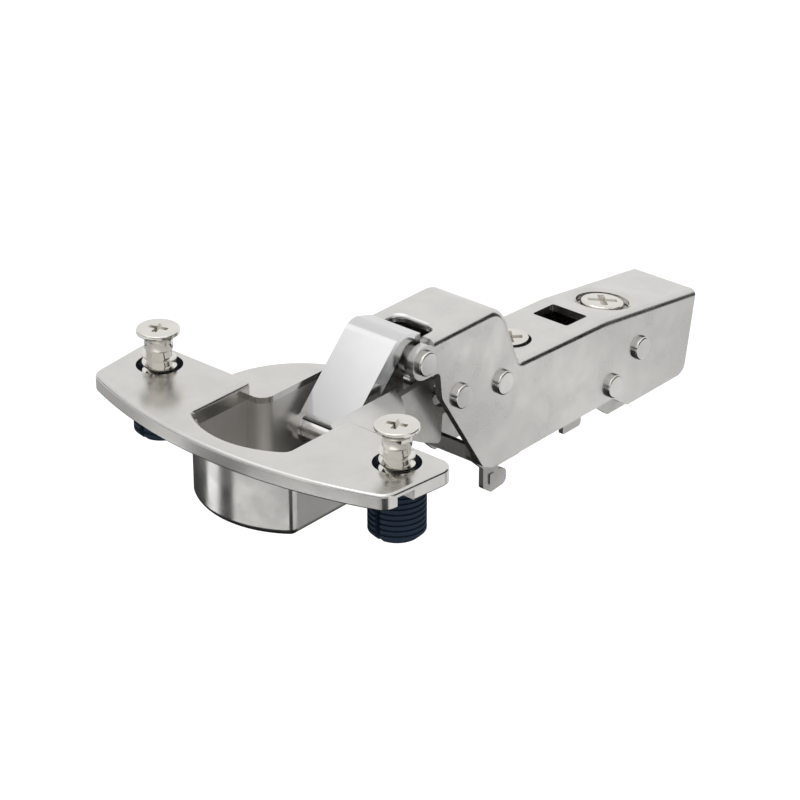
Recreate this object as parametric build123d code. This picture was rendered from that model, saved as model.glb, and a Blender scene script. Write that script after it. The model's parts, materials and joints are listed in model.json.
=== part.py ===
from build123d import *
import os
from math import atan2, cos, degrees, hypot, radians, sin, sqrt

# Concealed cup hinge with a cranked clip-on arm, shown open at a right angle.
# Millimetres. The origin is the centre of the cup bore on the door's inner face.
# +Z points away from the door, +X from the cup towards the rear of the arm.
# Side outlines are drawn as (x, z) and are symmetric about the plane y = 0.

os.makedirs("parts", exist_ok=True)

# ------------------------------------------------------------ driving dimensions

# Drilling pattern in the door
cup_diameter = 35.0
screw_spacing = 52.0
screw_offset = 5.5
cup_depth = 12.8

# Cup casting
bore_gap = 0.1
cup_wall = 0.9
cup_side_wall = 0.7
cup_floor = 0.9
cup_flat_width = 22.3
rim_height = 0.7
rim_drop = 1.5
cheek_gap = 13.6
cheek_front = -1.0
cheek_nose_radius = 2.4
cup_bottom_radius = 1.2
cup_corner_radius = 1.5

# Crescent flange
flange_thickness = 2.8
flange_end_margin = 7.7
flange_reach = 21.0
flange_front_radius = 87.0
flange_end_slant = 1.6
flange_corner_radius = 2.6
flange_edge_radius = 0.55
flange_under_radius = 0.3
opening_inset = 0.1
opening_corner_radius = 1.5
opening_edge_radius = 1.0
key_notch_width = 3.6
key_notch_depth = 2.0
key_notch_height = 1.8
key_notch_x = -10.9

# Expanding dowels and their screws
dowel_diameter = 9.4
dowel_root_diameter = 8.7
dowel_length = 9.6
dowel_foot = 0.7
dowel_seat_depth = 0.5
dowel_rib_pitch = 0.96
dowel_rib_share = 0.62
dowel_slot_width = 1.0
dowel_tip_chamfer = 0.9
dowel_hole_diameter = 7.9
dowel_neck_height = 0.9
fixing_gap = 0.05
screw_thread_diameter = 5.8
screw_neck_diameter = 4.9
screw_head_diameter = 7.3
screw_head_thickness = 0.9
screw_head_cone = 0.9
screw_thread_rise = 1.9
screw_travel = 6.7
screw_thread_pitch = 1.6
screw_thread_depth = 0.55
screw_tip_gap = 0.1
thread_flank = 0.45
fixing_cross = (3.6, 0.95, 1.5)
screw_head_land = 0.5
cross_taper = 10.0

# Four-bar linkage: pivots on the arm and on the cup
arm_front_pivot = (22.9, 3.2)
arm_middle_pivot = (32.3, -6.5)
cup_front_pivot = (6.85, -6.45)
cup_rear_pivot = (11.45, -8.25)
link_pin_diameter = 3.6
pin_running_gap = 0.05
closed_inner_turn = 129.4
sweep_gap = 0.35

# Outer link
outer_link_width = 10.75
outer_link_sheet = 1.2
outer_link_apex = (19.0, 9.1)
outer_link_tail = (24.2, 7.4)
outer_link_foot = (6.1, -4.1)
outer_link_bend = 3.6
outer_link_foot_bend = 2.0
outer_link_end_gap = 0.25
outer_link_tail_fall = 0.3
outer_link_flange = 3.1
outer_link_arm_eye = 2.8
outer_link_cup_eye = 2.6

# Inner link
inner_link_width = 7.8
inner_link_sheet = 1.2
inner_link_cup_eye = 2.4
inner_link_arm_eye = 4.6
open_pivot_gap = 1.7
inner_link_throat = (20.5, -3.6)
inner_link_belly = (21.0, -11.4)
inner_link_heel = (26.4, -14.4)
inner_link_heel_rear = (31.4, -16.6)
inner_link_brow = 3.7
inner_link_chin = 2.2
inner_link_round = 3.0
inner_link_heel_radius = 0.8

# Hinge arm
arm_width = 15.1
arm_sheet = 1.4
arm_fold_radius = 1.2
arm_lug_radius = 3.1
arm_front_edge = 25.3
arm_front_top = 6.4
arm_step_top = 43.3
arm_step_foot = (48.5, -6.2)
arm_step_radius = 5.0
arm_step_foot_radius = 1.6
arm_shoulder_radius = 20.0
arm_shoulder = (72.8, -7.3)
arm_rear_top = (100.3, -11.0)
arm_rear_foot = (97.6, -26.2)
arm_front_bottom = -24.0
arm_rear_bottom = -27.0
arm_bottom_step = 75.6
arm_bottom_ramp = 4.4
arm_bottom_ramp_radius = 1.0
arm_chin = (38.6, -22.9)
arm_chin_run = 2.6
arm_corner_radius = 1.6
arm_throat = (27.4, -5.2)
arm_throat_radius = 2.5
arm_lug_foot = (26.8, 0.0)
arm_lug_foot_radius = 1.2
arm_rear_radius = 2.0
arm_notch_width = 8.8
arm_notch_depth = 4.3
arm_notch_edge_radius = 0.8
arm_notch_corner = 2.2
arm_pin_diameter = 4.4
arm_pin_proud = 0.9
arm_pin_edge = 0.35
arm_pin_shoulder_diameter = 3.0
arm_rear_pivot = (43.5, -8.2)

# Adjusters and windows in the arm's top
adjuster_pivot = (83.3, -16.5)
stop_rivet_place = (75.3, -21.2)
side_screw_x = 54.6
depth_screw_x = 81.6
window_x = 69.0
window_length = 6.0
window_width = 7.8
window_corner = 0.5
side_screw_head_diameter = 6.8
side_screw_proud = 0.35
side_screw_cap_height = 1.0
side_screw_neck_diameter = 4.6
side_screw_foot_height = 1.0
side_screw_play = 0.55
side_screw_thread_pitch = 1.0
side_screw_thread_depth = 0.4
web_play = 0.2
side_cross = (4.6, 1.2, 1.6)
depth_screw_head_diameter = 8.0
depth_screw_sink = 0.2
depth_screw_edge_radius = 0.5
depth_cross = (5.4, 1.3, 1.1)
depth_screw_disc_diameter = 11.0
depth_screw_disc_height = 0.9
depth_window_diameter = 9.8
depth_dish_diameter = 11.8
depth_dish_depth = 0.45
depth_travel_back = 2.0
depth_travel_forward = 3.0
tilt_range = 2.5
slot_play = 0.15

# Clip frame inside the arm
frame_width = 12.0
frame_sheet = 1.0
frame_web_front = (49.0, -11.2)
frame_web_level = 13.0
frame_web_rear = (96.4, -13.2)
frame_front = 40.5
frame_chin_x = 36.9
frame_chin_top = -16.7
frame_chin_bottom = -21.2
frame_corner_radius = 1.0
frame_shoulder = -13.6
frame_bottom = -24.6
hook_bottom = -30.1
hook_length = 6.4
hook_neck = 4.1
hook_lip = 10.1
hook_lip_height = 0.9
hook_throat = 3.8
tab_bottom = -26.9
tab_front = 63.0
tab_length = 5.2
tab_front_radius = 0.3
tab_rear_radius = 0.8
foot_bottom = -28.0
foot_front = 72.0
foot_length = 10.0
foot_ramp = 4.2
foot_radius = 0.6
hook_nose_drop = 0.6
hook_heel = 0.4
hook_toe = 2.2
hook_toe_rise = 1.6
hook_lip_radius = 0.3
hook_throat_radius = 0.5
hook_nose_radius = 1.2
hook_toe_radius = 0.9
hook_rib_in = 1.6
hook_rib_rise = 1.8
hook_rib_width = 1.2
hook_rib_height = 2.0
hook_rib_proud = 0.25
front_web_top = -19.6
front_web_bottom = -22.4
front_web_x = 38.6

# Closing spring
spring_wire = 1.15
spring_coil_diameter = 5.3
spring_turns = 6
spring_leg_length = 6.0
spring_pin_waist = 2.8
spring_touch = 0.02

# Release lever at the arm's rear end
lever_pivot = (91.6, -20.2)
lever_width = 8.8
lever_sheet = 1.4
lever_hollow_lift = 0.55
lever_corners = [(-3.6, -6.4), (1.0, -6.8), (4.4, -1.0), (6.2, 4.2), (4.6, 4.6), (1.6, 1.6), (-2.4, 1.6)]
lever_corner_radii = [0.6, 1.0, 2.0, 0.5, 0.5, 1.0, 1.0]
lever_pin_diameter = 2.4
lever_spring_wire = 0.7
lever_spring_diameter = 4.6
lever_spring_turns = 4

# ------------------------------------------------------------ shared shapes

half_arm = arm_width / 2
flange_width = screw_spacing + 2 * flange_end_margin
opening_width = cup_flat_width - 2 * cup_side_wall
pot_radius = cup_diameter / 2 - bore_gap
far = 200.0
tolerance = 0.01


def outline(points, radii=None):
    """Closed face through (x, z) points, with one radius per corner (0 is sharp)."""
    face = make_face(Polyline(*points, close=True))
    for point, radius in zip(points, radii or [0] * len(points)):
        if radius:
            corner = face.vertices().sort_by_distance((point[0], point[1], 0))[0]
            face = fillet(corner, radius)
    return face


def slab(face, y_low, y_high):
    """Side outline drawn as (x, z), given its thickness from y_low to y_high."""
    return extrude(Plane.XZ.offset(-y_high) * face, amount=y_high - y_low)


def disc(place, radius):
    """Round side outline about an (x, z) place."""
    return Pos(place[0], place[1]) * Circle(radius)


def cross_rod(place, radius, half_length):
    """Round bar across the hinge, centred on y = 0."""
    return slab(disc(place, radius), -half_length, half_length)


def obround(place, back, forward, radius):
    """Side outline of a slot that lets a pin of this radius travel along X."""
    x, z = place
    middle = (x + (forward - back) / 2, z)
    length = forward + back
    straight = Pos(*middle) * Rectangle(length, 2 * radius)
    return straight + disc((x - back, z), radius) + disc((x + forward, z), radius)


def upright(x, y, radius, z_low, z_high):
    """Upright round bar."""
    return Pos(x, y, z_low) * extrude(Circle(radius), amount=z_high - z_low)


def cross_recess(top, size):
    """Cross-shaped driver recess on the Z axis, narrowing with depth; size is (span, width, depth)."""
    span, width, depth = size
    arms = Rectangle(span, width) + Rectangle(width, span)
    return Pos(0, 0, top) * Rot(0, 0, 45) * extrude(arms, amount=-depth, taper=cross_taper)


def thread_grooves(x, y, radius, depth, pitch, z_low, z_high):
    """Rings that stand for the thread: V grooves cut round a shank."""
    grooves = []
    count = int((z_high - z_low) / pitch)
    for i in range(count):
        z = z_low + (i + 0.5) * pitch
        flank = pitch * thread_flank
        vee = make_face(Polyline((radius - depth, z), (radius + depth, z - flank),
                                 (radius + depth, z + flank), close=True))
        grooves.append(Pos(x, y, 0) * revolve(Plane.XZ * vee, Axis.Z))
    return grooves


def line_height(start, end, x):
    """Height at x of the straight line through two (x, z) places."""
    return start[1] + (x - start[0]) * (end[1] - start[1]) / (end[0] - start[0])


def off_axis(edge):
    """Distance from the Z axis to an edge's middle."""
    return hypot(edge.center().X, edge.center().Y)


def save(name, shape):
    """Write one node."""
    shape.label = name
    export_step(shape, f"parts/{name}.step")


# ------------------------------------------------------------ cup casting


def flange_face():
    """Crescent flange seen from above: bowed front edge, straight back edge on the cup axis."""
    half = flange_width / 2
    end_half = half - flange_end_slant
    corner_x = flange_front_radius - flange_reach - sqrt(flange_front_radius**2 - end_half**2)
    front = ThreePointArc((corner_x, end_half), (-flange_reach, 0), (corner_x, -end_half))
    rest = Polyline((corner_x, -end_half), (0, -half), (0, half), (corner_x, end_half))
    face = make_face([front, rest])
    return fillet(face.vertices(), flange_corner_radius)


def opening_face():
    """Opening in the flange over the pot: round in front, straight beside the cheeks, open behind."""
    front = Circle(pot_radius - opening_inset) & (Pos(-far / 2, 0) * Rectangle(far, opening_width))
    corners = [v for v in front.vertices() if v.X < -opening_corner_radius]
    return fillet(corners, opening_corner_radius) + Pos(far / 2, 0) * Rectangle(far, opening_width)


def pocket_face():
    """Cavity seen from above: round front part, then the narrower way out between the cheeks."""
    front = Circle(pot_radius - cup_wall) & (Pos(cheek_front - far / 2, 0) * Rectangle(far, opening_width))
    way = Pos(cheek_front - cheek_nose_radius + far / 2, 0) * Rectangle(far, cheek_gap)
    return front + way


def build_flange():
    """Flange plate with its opening, edges rounded above and below."""
    plate = extrude(flange_face() - opening_face(), amount=flange_thickness)
    tops = plate.faces().sort_by(Axis.Z)[-1].edges()
    rim = [e for e in tops if e.center().X < -tolerance and off_axis(e) < pot_radius]
    plate = fillet(rim, opening_edge_radius)
    tops = plate.faces().filter_by(Axis.Z).sort_by(Axis.Z)[-1].edges()
    outside = [e for e in tops if off_axis(e) > pot_radius + opening_edge_radius]
    plate = fillet(outside, flange_edge_radius)
    bottoms = plate.faces().filter_by(Axis.Z).sort_by(Axis.Z)[0].edges()
    outside = [e for e in bottoms if off_axis(e) > pot_radius]
    return fillet(outside, flange_under_radius)


def build_cup():
    """One die casting: round pot with two flats, cheeks for the pins, and the crescent flange."""
    half_flat = cup_flat_width / 2
    plan = Circle(pot_radius) & Rectangle(far, cup_flat_width)
    plan = fillet(plan.vertices(), cup_corner_radius)
    pot = Pos(0, 0, -cup_depth) * extrude(plan, amount=cup_depth)
    pot = fillet(pot.faces().sort_by(Axis.Z)[0].edges(), cup_bottom_radius)
    rim = Pos(0, 0, -rim_drop) * extrude(Circle(pot_radius), amount=rim_drop + rim_height)
    body = pot + rim + build_flange()
    body -= Pos(0, 0, cup_floor - cup_depth) * extrude(pocket_face(), amount=far)
    noses = [e for e in body.edges().filter_by(Axis.Z)
             if abs(e.center().X - cheek_front) < tolerance
             and abs(abs(e.center().Y) - cheek_gap / 2) < tolerance]
    body = fillet(noses, cheek_nose_radius)

    for side in (-1, 1):
        y = side * screw_spacing / 2
        body -= upright(-screw_offset, y, dowel_hole_diameter / 2, -far, far)
        body -= upright(-screw_offset, y, dowel_diameter / 2 + fixing_gap, -far, dowel_seat_depth)
        notch = Box(key_notch_width, 2 * key_notch_depth, 2 * key_notch_height)
        body -= Pos(key_notch_x, side * (flange_width / 2 - flange_end_slant), 0) * notch
    for pivot in (cup_front_pivot, cup_rear_pivot):
        body -= cross_rod(pivot, link_pin_diameter / 2, half_flat - cup_wall)
    return body


def build_cup_pin(pivot):
    """Plain pin whose ends sit blind in both cheeks."""
    return cross_rod(pivot, link_pin_diameter / 2, cup_flat_width / 2 - cup_wall)


# ------------------------------------------------------------ dowels and fixing screws


def build_dowel(side):
    """Ribbed plastic dowel, closed at its foot and slit in front and behind, its neck in the flange hole."""
    x, y = -screw_offset, side * screw_spacing / 2
    body = upright(x, y, dowel_root_diameter / 2, -dowel_length, dowel_seat_depth)
    ribs = int(dowel_length / dowel_rib_pitch)
    for i in range(ribs):
        top = dowel_seat_depth - i * dowel_rib_pitch
        body += upright(x, y, dowel_diameter / 2, top - dowel_rib_pitch * dowel_rib_share, top)
    body += upright(x, y, dowel_diameter / 2, -dowel_length, -dowel_length + dowel_tip_chamfer)
    foot = body.faces().sort_by(Axis.Z)[0].edges()
    body = chamfer(foot, dowel_tip_chamfer)
    body += upright(x, y, dowel_hole_diameter / 2 - fixing_gap, 0, dowel_neck_height)
    slit = Box(far, dowel_slot_width, dowel_length, align=(Align.CENTER, Align.CENTER, Align.MAX))
    core = upright(x, y, screw_thread_diameter / 2 + fixing_gap, -far, far)
    body -= Pos(x, y, -dowel_rib_pitch) * slit - core
    body -= upright(x, y, screw_thread_diameter / 2 + fixing_gap, dowel_foot - dowel_length, far)
    return body


def build_fixing_screw(side):
    """Countersunk screw, delivered raised: thin head, plain neck, thread below."""
    x, y = -screw_offset, side * screw_spacing / 2
    head_top = flange_thickness + screw_travel
    head_bottom = head_top - screw_head_thickness
    cone_bottom = head_bottom - screw_head_cone
    thread_top = flange_thickness + screw_thread_rise
    tip = dowel_foot - dowel_length + screw_travel + screw_tip_gap
    body = upright(x, y, screw_head_diameter / 2, head_bottom, head_top)
    cone = Cone(screw_neck_diameter / 2, screw_head_diameter / 2 - screw_head_land, screw_head_cone,
                align=(Align.CENTER, Align.CENTER, Align.MIN))
    body += Pos(x, y, cone_bottom) * cone
    body += upright(x, y, screw_neck_diameter / 2, thread_top, cone_bottom)
    body += upright(x, y, screw_thread_diameter / 2, tip, thread_top)
    for groove in thread_grooves(x, y, screw_thread_diameter / 2, screw_thread_depth, screw_thread_pitch,
                                 tip, thread_top):
        body -= groove
    body -= Pos(x, y) * cross_recess(head_top, fixing_cross)
    return body


# ------------------------------------------------------------ links


def outer_link_envelope(inset):
    """Everything on the hollow side of the outer link's web, moved inwards by inset."""
    tail_x, tail_z = outer_link_tail
    region = outline([(far, tail_z - (far - tail_x) * outer_link_tail_fall), outer_link_apex, outer_link_foot,
                      (outer_link_foot[0], -far), (far, -far)],
                     [0, outer_link_bend, outer_link_foot_bend, 0, 0])
    return offset(region, amount=-inset) if inset else region


def build_outer_link():
    """Bent sheet link: a broad polished web with two side flanges and four eyes."""
    half = outer_link_width / 2
    inner = half - outer_link_sheet
    x_arm, z_arm = arm_front_pivot
    arm_eye = disc(arm_front_pivot, outer_link_arm_eye)
    cup_eye = disc(cup_front_pivot, outer_link_cup_eye)
    envelope = outer_link_envelope(0)
    tail_cut = Pos(outer_link_tail[0] + far / 2, 0) * Rectangle(far, 2 * far)
    foot_cut = Pos(0, cup_front_pivot[1] - far / 2) * Rectangle(2 * far, far)
    reach = outer_link_arm_eye
    shoulder = outline([(x_arm, z_arm), (x_arm + reach, z_arm), (x_arm + reach, far),
                        (x_arm - 2 * reach, far), (x_arm - reach, z_arm)])
    band = envelope - outer_link_envelope(outer_link_flange)
    side = (band - foot_cut + (shoulder & envelope)) - tail_cut + arm_eye + cup_eye
    body = slab(side, -half, half)
    body -= slab(outer_link_envelope(outer_link_sheet) + foot_cut, -inner, inner)
    pin_room = disc(cup_front_pivot, link_pin_diameter / 2 + outer_link_end_gap)
    body -= slab(cup_eye - envelope + pin_room, -inner, inner)
    body -= cross_rod(arm_front_pivot, arm_pin_diameter / 2 + pin_running_gap, far)
    body -= cross_rod(cup_front_pivot, link_pin_diameter / 2 + pin_running_gap, far)
    return body


def outer_pin_sweep():
    """Path of the outer cup pin as the inner link meets it while the hinge closes."""
    across = cup_front_pivot[0] - cup_rear_pivot[0]
    rise = cup_front_pivot[1] - cup_rear_pivot[1]
    reach = hypot(across, rise)
    start = degrees(atan2(rise, across))
    width = link_pin_diameter / 2 + sweep_gap
    path = Pos(*cup_rear_pivot)
    sweep = path * (Circle(reach + width) - Circle(reach - width))
    for angle in (start + 90, start - closed_inner_turn - 90):
        sweep -= path * Rot(0, 0, angle) * Pos(far / 2, 0) * Rectangle(far, far)
    for angle in (start, start - closed_inner_turn):
        sweep += path * Rot(0, 0, angle) * Pos(reach, 0) * Circle(width)
    return sweep


def inner_link_face():
    """Side outline of the inner link: cup eye, hollow throat, deep belly, heel and arm eye."""
    x_cup, z_cup = cup_rear_pivot
    x_arm, z_arm = arm_middle_pivot
    spine = outline([cup_rear_pivot, inner_link_throat, (x_arm, z_arm + inner_link_brow), arm_middle_pivot,
                     inner_link_heel_rear, inner_link_heel, inner_link_belly,
                     (x_cup, z_cup - inner_link_chin)],
                    [0, inner_link_round, 0, 0, inner_link_heel_radius, inner_link_heel_radius,
                     inner_link_round, 0])
    face = spine + disc(cup_rear_pivot, inner_link_cup_eye) + disc(arm_middle_pivot, inner_link_arm_eye)
    return face - outer_pin_sweep()


def build_inner_link():
    """Bent sheet link under the outer one, its heel working on the closing spring."""
    half = inner_link_width / 2
    face = inner_link_face()
    body = slab(face, -half, half)
    hollow = offset(face, amount=-inner_link_sheet)
    eyes = (disc(arm_middle_pivot, inner_link_arm_eye + inner_link_sheet)
            + disc(cup_rear_pivot, inner_link_cup_eye + inner_link_sheet))
    inner = half - inner_link_sheet
    body -= slab(hollow + Pos(0, 3 * inner_link_sheet) * hollow + eyes, -inner, inner)
    body -= cross_rod(cup_rear_pivot, link_pin_diameter / 2 + pin_running_gap, far)
    body -= cross_rod(arm_middle_pivot, arm_pin_shoulder_diameter / 2 + open_pivot_gap, far)
    return body


# ------------------------------------------------------------ hinge arm


def arm_envelope(inset):
    """Everything below the arm's top sheet, moved inwards by inset."""
    region = outline([(-far, arm_front_top), (arm_step_top, arm_front_top), arm_step_foot, arm_shoulder,
                      arm_rear_top, (far, arm_rear_top[1]), (far, -far), (-far, -far)],
                     [0, arm_step_radius, arm_step_foot_radius, arm_shoulder_radius, 0, 0, 0, 0])
    return offset(region, amount=-inset) if inset else region


def arm_side_face():
    """Side plate outline: lug, sloping throat, straight lower edge with a step, and the tapered rear."""
    x_lug, z_lug = arm_front_pivot
    points = [
        (arm_front_edge, arm_front_top + far),
        (arm_front_edge, z_lug),
        (x_lug, z_lug),
        (x_lug, z_lug - arm_lug_radius),
        arm_lug_foot,
        arm_throat,
        arm_chin,
        (arm_chin[0] + arm_chin_run, arm_front_bottom),
        (arm_bottom_step, arm_front_bottom),
        (arm_bottom_step + arm_bottom_ramp, arm_rear_bottom),
        (arm_rear_foot[0] - arm_corner_radius, arm_rear_bottom),
        arm_rear_foot,
        arm_rear_top,
        (arm_rear_top[0], arm_front_top + far),
    ]
    radii = [0, 0, 0, 0, arm_lug_foot_radius, arm_throat_radius, arm_corner_radius, arm_corner_radius,
             arm_bottom_ramp_radius, arm_bottom_ramp_radius, arm_corner_radius, arm_rear_radius, 0, 0]
    plate = outline(points, radii) & arm_envelope(0)
    return plate + disc(arm_front_pivot, arm_lug_radius)


def arm_top_at(x):
    """Height of the arm's top sheet, on its outside, between the step and the rear end."""
    if x < arm_shoulder[0]:
        return line_height(arm_step_foot, arm_shoulder, x)
    return line_height(arm_shoulder, arm_rear_top, x)


def depth_dish():
    """Shallow cone that dishes the arm's top round the depth screw."""
    slope = degrees(atan2(arm_rear_top[1] - arm_shoulder[1], arm_rear_top[0] - arm_shoulder[0]))
    flare = (depth_dish_diameter - depth_window_diameter) / 2
    cone = Cone(depth_window_diameter / 2 - flare, depth_dish_diameter / 2 + flare, 3 * depth_dish_depth,
                align=(Align.CENTER, Align.CENTER, Align.MAX))
    lift = Pos(0, 0, depth_dish_depth)
    return Pos(depth_screw_x, 0, arm_top_at(depth_screw_x)) * Rot(0, -slope, 0) * lift * cone


def build_arm():
    """Cranked arm folded from one sheet: top with notch, window and screw openings, two side plates."""
    body = slab(arm_side_face(), -half_arm, half_arm)
    folds = [e for e in body.edges()
             if abs(abs(e.center().Y) - half_arm) < tolerance and e.center().Z > arm_rear_top[1]
             and (e.center().X > arm_step_top - arm_step_radius / 2
                  or e.center().Z > arm_front_top - tolerance)
             and abs(e.center().X - arm_rear_top[0]) > arm_sheet / 2]
    body = fillet(folds, arm_fold_radius)
    inner = half_arm - arm_sheet
    body -= slab(arm_envelope(arm_sheet), -inner, inner)
    body -= Pos(arm_front_edge - far / 2, 0, 0) * Box(far, 2 * inner, far)
    notch = Pos(arm_front_edge, 0) * Rectangle(2 * arm_notch_depth, arm_notch_width)
    notch = fillet(notch.vertices(), arm_notch_corner)
    body -= Pos(0, 0, arm_front_top - 3 * arm_sheet) * extrude(notch, amount=far)
    lips = [e for e in body.edges() if abs(e.center().Z - arm_front_top) < tolerance
            and arm_front_edge + tolerance < e.center().X < arm_front_edge + arm_notch_depth + tolerance
            and abs(e.center().Y) < arm_notch_width / 2 + tolerance]
    body = fillet(lips, arm_notch_edge_radius)
    under_top = arm_rear_top[1] - 2 * arm_sheet
    window = Pos(window_x, 0) * RectangleRounded(window_length, window_width, window_corner)
    body -= Pos(0, 0, under_top) * extrude(window, amount=far)
    body -= upright(side_screw_x, 0, side_screw_head_diameter / 2 + side_screw_play, under_top, far)
    body -= upright(depth_screw_x, 0, depth_window_diameter / 2, under_top, far)
    body -= depth_dish()
    for pivot in (arm_front_pivot, arm_middle_pivot, arm_rear_pivot, stop_rivet_place):
        body -= cross_rod(pivot, arm_pin_diameter / 2, far)
    body -= cross_rod(adjuster_pivot, arm_pin_diameter / 2 + pin_running_gap, far)
    return body


def build_riveted_pin(pivot, radius, waist_radius=None, waist_half=0.0):
    """Pin through both side plates with its ends standing proud, and a slimmer waist if given."""
    half = half_arm + arm_pin_proud
    pin = cross_rod(pivot, radius, half)
    rims = [e for e in pin.edges() if abs(abs(e.center().Y) - half) < tolerance]
    pin = fillet(rims, arm_pin_edge)
    if waist_radius:
        sleeve = cross_rod(pivot, 2 * radius, waist_half) - cross_rod(pivot, waist_radius, waist_half)
        pin -= sleeve
    return pin


# ------------------------------------------------------------ closing spring


def build_closing_spring():
    """Double coil spring round the rear arm pin, its leg resting behind the inner link's heel."""
    x, z = arm_rear_pivot
    coil_radius = (spring_coil_diameter - spring_wire) / 2
    rings = None
    for i in range(spring_turns):
        y = (i - (spring_turns - 1) / 2) * spring_wire
        ring = Pos(x, y, z) * Rot(90, 0, 0) * Torus(coil_radius, spring_wire / 2 + spring_touch)
        rings = ring if rings is None else rings + ring
    reach = (spring_turns - 1) / 2 * spring_wire
    foot = Pos(x - coil_radius, 0, z - spring_leg_length)
    for side in (-1, 1):
        leg = Cylinder(spring_wire / 2, spring_leg_length, align=(Align.CENTER, Align.CENTER, Align.MIN))
        rings += foot * Pos(0, side * reach, 0) * leg
        rings += foot * Pos(0, side * reach, 0) * Sphere(spring_wire / 2)
    rings += foot * Rot(90, 0, 0) * Cylinder(spring_wire / 2, 2 * reach)
    return rings


# ------------------------------------------------------------ clip frame and adjusters


def frame_side_face():
    """Side plate of the clip frame: hook in front, shoulder, web edge, tab and foot below."""
    x_web, z_web = frame_web_front
    neck = frame_front + hook_neck
    nose = frame_front + hook_length
    lip = frame_front + hook_lip
    points = [
        (frame_front, frame_shoulder),
        (x_web, frame_shoulder),
        (x_web, z_web),
        (x_web + frame_web_level, z_web),
        frame_web_rear,
        (frame_web_rear[0], frame_bottom),
        (foot_front + foot_length, frame_bottom),
        (foot_front + foot_length, foot_bottom),
        (foot_front + foot_ramp, foot_bottom),
        (foot_front, frame_bottom),
        (tab_front + tab_length, frame_bottom),
        (tab_front + tab_length, tab_bottom),
        (tab_front, tab_bottom),
        (tab_front, frame_bottom),
        (lip, frame_bottom),
        (lip, frame_bottom - hook_lip_height),
        (neck, frame_bottom - hook_lip_height),
        (neck, hook_bottom + hook_throat),
        (nose, hook_bottom + hook_throat - hook_nose_drop),
        (nose, hook_bottom + hook_heel),
        (frame_front + hook_toe, hook_bottom),
        (frame_front, hook_bottom + hook_toe_rise),
        (frame_front, frame_bottom),
        (frame_chin_x, frame_chin_bottom),
        (frame_chin_x, frame_chin_top),
    ]
    radii = [frame_corner_radius, 0, 0, 0, 0, frame_corner_radius, 0, foot_radius, foot_radius, 0, 0,
             tab_rear_radius, tab_front_radius, 0, 0, hook_lip_radius, 0, hook_throat_radius,
             hook_nose_radius, hook_nose_radius, hook_toe_radius, hook_toe_radius, 0,
             frame_corner_radius, frame_corner_radius]
    return outline(points, radii)


def web_top_at(x):
    """Height of the frame's web, on its upper face, at x: level in front, then falling to the rear."""
    level_end = (frame_web_front[0] + frame_web_level, frame_web_front[1])
    if x < level_end[0]:
        return frame_web_front[1]
    return line_height(level_end, frame_web_rear, x)


def build_clip_frame():
    """Inner channel that clips on the mounting plate and carries the adjusters."""
    half = frame_width / 2
    inner = half - frame_sheet
    body = slab(frame_side_face(), -half, half)
    bend = frame_web_front[0] + frame_web_level
    level = frame_web_front[1] - frame_sheet
    under_web = outline([(0, level), (bend, level), (far, web_top_at(far) - frame_sheet),
                         (far, -far), (0, -far)])
    body -= slab(under_web, -inner, inner)
    front_web = Box(frame_sheet, frame_width - frame_sheet, front_web_top - front_web_bottom)
    body += Pos(front_web_x, 0, (front_web_top + front_web_bottom) / 2) * front_web
    free_side = Box(2 * hook_lip, far, far, align=(Align.CENTER, Align.MIN, Align.MAX))
    body -= Pos(frame_front, -inner, frame_bottom) * free_side
    rib = Box(hook_rib_width, 2 * hook_rib_proud, hook_rib_height, align=(Align.MIN, Align.CENTER, Align.MIN))
    body += Pos(frame_front + hook_rib_in, -half, hook_bottom + hook_rib_rise) * rib
    slot_radius = arm_pin_diameter / 2 + slot_play
    body -= slab(obround(adjuster_pivot, depth_travel_back, depth_travel_forward, slot_radius), -far, far)
    stop_lift = sin(radians(tilt_range)) * hypot(adjuster_pivot[0] - stop_rivet_place[0],
                                                 adjuster_pivot[1] - stop_rivet_place[1])
    body -= slab(obround(stop_rivet_place, depth_travel_back, depth_travel_forward,
                         slot_radius + stop_lift), -far, far)
    slot_width = side_screw_neck_diameter + 2 * slot_play
    slot_end = side_screw_x + depth_travel_forward
    slot = Pos(slot_end, 0) * Circle(slot_width / 2) + Pos(slot_end - far / 2, 0) * Rectangle(far, slot_width)
    body -= Pos(0, 0, web_top_at(slot_end) - 2 * frame_sheet) * extrude(slot, amount=4 * frame_sheet)
    body -= cross_rod(lever_pivot, lever_pin_diameter / 2, far)
    return body


def build_side_screw():
    """Side adjusting screw: rod through the arm's top, held on both sides of the frame's web."""
    x = side_screw_x
    web_top = web_top_at(x) + web_play
    web_low = web_top_at(x) - frame_sheet - web_play
    rod_top = arm_top_at(x) + side_screw_proud
    body = upright(x, 0, side_screw_head_diameter / 2, web_top, rod_top)
    body += upright(x, 0, side_screw_neck_diameter / 2, web_low, web_top)
    body += upright(x, 0, side_screw_head_diameter / 2, web_low - side_screw_foot_height, web_low)
    for groove in thread_grooves(x, 0, side_screw_head_diameter / 2, side_screw_thread_depth,
                                 side_screw_thread_pitch, web_top, rod_top - side_screw_cap_height):
        body -= groove
    body -= Pos(x, 0) * cross_recess(rod_top, side_cross)
    return body


def build_depth_screw():
    """Depth adjusting cam screw: slotted head in the arm's opening, spiral disc under the sheet."""
    slope = degrees(atan2(arm_rear_top[1] - arm_shoulder[1], arm_rear_top[0] - arm_shoulder[0]))
    disc_top = -arm_sheet - slot_play
    head_top = -depth_screw_sink
    head = upright(0, 0, depth_screw_head_diameter / 2, disc_top, head_top)
    head = fillet(head.faces().sort_by(Axis.Z)[-1].edges(), depth_screw_edge_radius)
    head += upright(0, 0, depth_screw_disc_diameter / 2, disc_top - depth_screw_disc_height, disc_top)
    head -= cross_recess(head_top, depth_cross)
    return Pos(depth_screw_x, 0, arm_top_at(depth_screw_x)) * Rot(0, -slope, 0) * head


# ------------------------------------------------------------ release lever


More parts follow.
